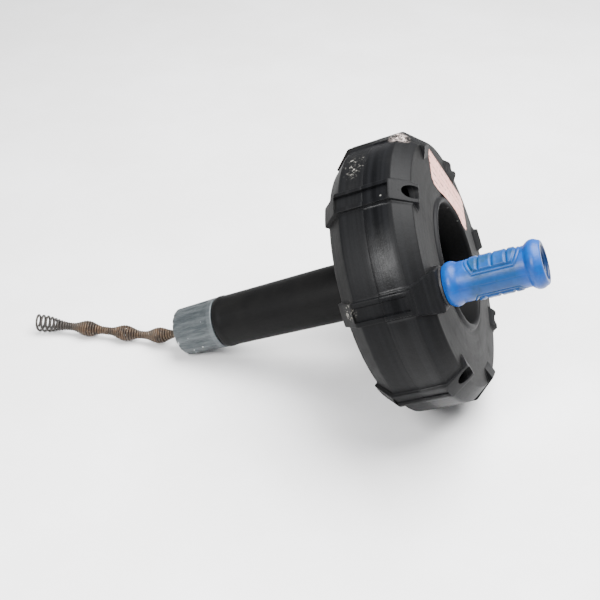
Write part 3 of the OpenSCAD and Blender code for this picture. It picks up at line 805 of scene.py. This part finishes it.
def label_paper_finish():
    f = Finish("label_paper", Specular_IOR_Level=0.3)
    local = f.on_axis()
    cloud = f.noise(local, 70, 5, 0.65, 0.3)
    fibres = f.noise(f.stretched(local, (900, 900, 200)), 1.0, 4, 0.7)
    stain = f.mask(f.noise(local, 38, 4, 0.6), 0.50, 0.72)
    tone = f.blend(f.mask(cloud, 0.3, 0.7), (0.58, 0.28, 0.23), (0.72, 0.41, 0.35))
    tone = f.blend(stain * 0.35, tone, (0.44, 0.36, 0.32))
    tone = f.blend(f.mask(fibres, 0.66, 0.72) * 0.35, tone, (0.20, 0.18, 0.17))
    x, y, _ = f.node("SeparateXYZ", {}, {"Vector": local}, "all")
    out_x, out_y = math.cos(math.radians(LABEL_TURN)), math.sin(math.radians(LABEL_TURN))
    across = x * out_x + y * out_y - LABEL_R * 0.001
    length = y * out_x - x * out_y
    ripple = f.node("Math", {"operation": "SINE"}, {0: across * (2 * math.pi / PRINT_PITCH)})
    rows = f.mask(ripple, 0.55, 0.80)
    dashes = f.node("CombineXYZ", {}, {"X": across * 90.0, "Y": length * 420.0, "Z": 0.0})
    broken = f.mask(f.noise(dashes, 1.0, 3, 0.7), 0.48, 0.54)
    faded = f.mask(f.noise(local, 60, 3, 0.6), 0.36, 0.50)
    tone = f.blend(rows * broken * faded * 0.9, tone, (0.09, 0.07, 0.07))
    f.feed("Base Color", tone)
    f.feed("Roughness", 0.62 + 0.2 * cloud)
    f.bump(fibres * 0.6 + cloud, 0.00015)
    return f.material


label = bmesh.new()
bmesh.ops.create_grid(label, x_segments=40, y_segments=96, size=0.5)
label_middle = math.radians(LABEL_TURN)
outward = Vector((math.cos(label_middle), math.sin(label_middle), 0))
sideways = Vector((-math.sin(label_middle), math.cos(label_middle), 0))
for vertex in label.verts:
    across, length = vertex.co.x * LABEL_WIDTH, vertex.co.y * LABEL_LENGTH
    corner = max(abs(vertex.co.x) - 0.42, 0) * max(abs(vertex.co.y) - 0.47, 0) * 90
    spot = outward * (LABEL_R + across * (1 - corner)) + sideways * length * (1 - corner)
    r = math.hypot(spot.x, spot.y)
    face_z = 1.5 + 1.1 * (r - 42.1) / 31.9 if r > 44 else 1.56 * max(r - 38.4, 0) / 5.6
    wrinkle = 0.05 * noise.noise(spot * 0.35) + 0.03 * noise.noise(spot * 0.9)
    vertex.co = (spot.x, spot.y, face_z - 0.16 - wrinkle)
bmesh.ops.solidify(label, geom=label.faces[:], thickness=-0.08)
finished("rear_label", label, "drum", label_paper_finish(), crease=50)

# ---------------------------------------------------------------- metal and bush parts
# Plain turned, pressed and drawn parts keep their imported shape: the zinc-plated neck, strap and
# nut, blackened screws and spindle, oiled cable, brass jaws, nylon bushes and the cast chuck.


def plain_metal_finish(name, dark, light, metallic, rough, rust, rust_colour):
    f = Finish(name, Specular_IOR_Level=0.5)
    place = f.place()
    drawn = f.noise(f.stretched(f.on_axis(), (600, 600, 90)), 1.0, 4, 0.6)
    spots = f.mask(f.noise(place, 170, 5, 0.65, 0.3), 0.62 - 0.2 * rust, 0.80 - 0.15 * rust)
    tone = f.blend(f.mask(drawn, 0.3, 0.7), dark, light)
    tone = f.blend(spots * (0.3 + 0.6 * rust), tone, rust_colour)
    f.feed("Base Color", tone)
    f.feed("Metallic", metallic - metallic * 0.7 * spots)
    f.feed("Roughness", rough + 0.2 * drawn + 0.2 * spots)
    f.bump(drawn + spots * 0.8, 0.00008)
    return f.material


def cable_finish():
    """Close-wound wire, drawn as fine turns across the cable's run."""
    f = Finish("cable_oiled_wire", Specular_IOR_Level=0.5)
    place = f.place()
    mottle = f.noise(place, 190, 5, 0.65, 0.4)
    turns = f.node("TexWave", {"wave_type": "BANDS", "bands_direction": "Z"},
                   {"Vector": f.on_axis(), "Scale": 260.0, "Distortion": 0.4, "Detail": 1.0})
    turns_height = f.node("RGBToBW", {}, {"Color": turns})
    tone = f.blend(f.mask(mottle, 0.35, 0.70), (0.055, 0.036, 0.022), (0.24, 0.16, 0.10))
    tone = f.blend(f.mask(turns_height, 0.0, 0.35), (0.02, 0.014, 0.01), tone)
    f.feed("Base Color", tone)
    f.feed("Metallic", 0.55 + 0.2 * mottle)
    f.feed("Roughness", 0.38 + 0.3 * mottle)
    f.bump(turns_height + mottle * 0.5, 0.0003)
    return f.material


def bush_finish():
    f = Finish("bush_natural_nylon", Specular_IOR_Level=0.4, Subsurface_Weight=0.1)
    place = f.place()
    cloud = f.noise(place, 90, 4, 0.6)
    tone = f.blend(cloud, (0.52, 0.49, 0.42), (0.68, 0.66, 0.60))
    tone = f.blend(f.mask(f.noise(place, 260, 4, 0.6), 0.56, 0.75) * 0.4, tone, (0.26, 0.22, 0.17))
    f.feed("Base Color", tone)
    f.feed("Roughness", 0.42 + 0.2 * cloud)
    f.bump(cloud + f.noise(place, 800, 2, 0.5) * 0.4, 0.00008)
    return f.material


RUST = (0.16, 0.075, 0.035)
zinc = plain_metal_finish("zinc_plated_steel", (0.40, 0.41, 0.43), (0.62, 0.63, 0.65), 0.95, 0.28, 0.25, RUST)
black_steel = plain_metal_finish("blackened_steel", (0.008, 0.008, 0.009), (0.022, 0.022, 0.024),
                                 0.5, 0.45, 0.5, (0.035, 0.02, 0.012))
chuck_metal = plain_metal_finish("chuck_cast_metal", (0.05, 0.052, 0.056), (0.11, 0.112, 0.118),
                                 0.5, 0.45, 0.4, RUST)
brass = plain_metal_finish("jaw_brass", (0.42, 0.28, 0.09), (0.66, 0.48, 0.20), 0.95, 0.30, 0.1,
                           (0.16, 0.12, 0.06))
node_finishes = {
    zinc: ["neck_tube", "neck_flange_screws", "cable_clamp", "cable_clamp_screw", "grip_retaining_ring",
           "crank_nut"],
    black_steel: ["shell_screws", "crank_spindle", "crank_washer"],
    chuck_metal: ["chuck_body"],
    brass: ["jaw_a", "jaw_b", "jaw_c"],
    cable_finish(): ["cable_coil", "cable_run", "cable_tail", "cable_lead"],
    bush_finish(): ["grip_rear_bush", "grip_front_bush", "grip_thrust_washer", "crank_end_bush"],
    drum_plastic: ["rear_shell", "front_shell"],
    grip_plastic: ["grip_tube"],
    handle_plastic: ["crank_handle"],
    head_wire_metal: ["auger_head"],
}
for finish, names in node_finishes.items():
    for name in names:
        materials = frame["nodes"][name].data.materials
        materials.clear()
        materials.append(finish)
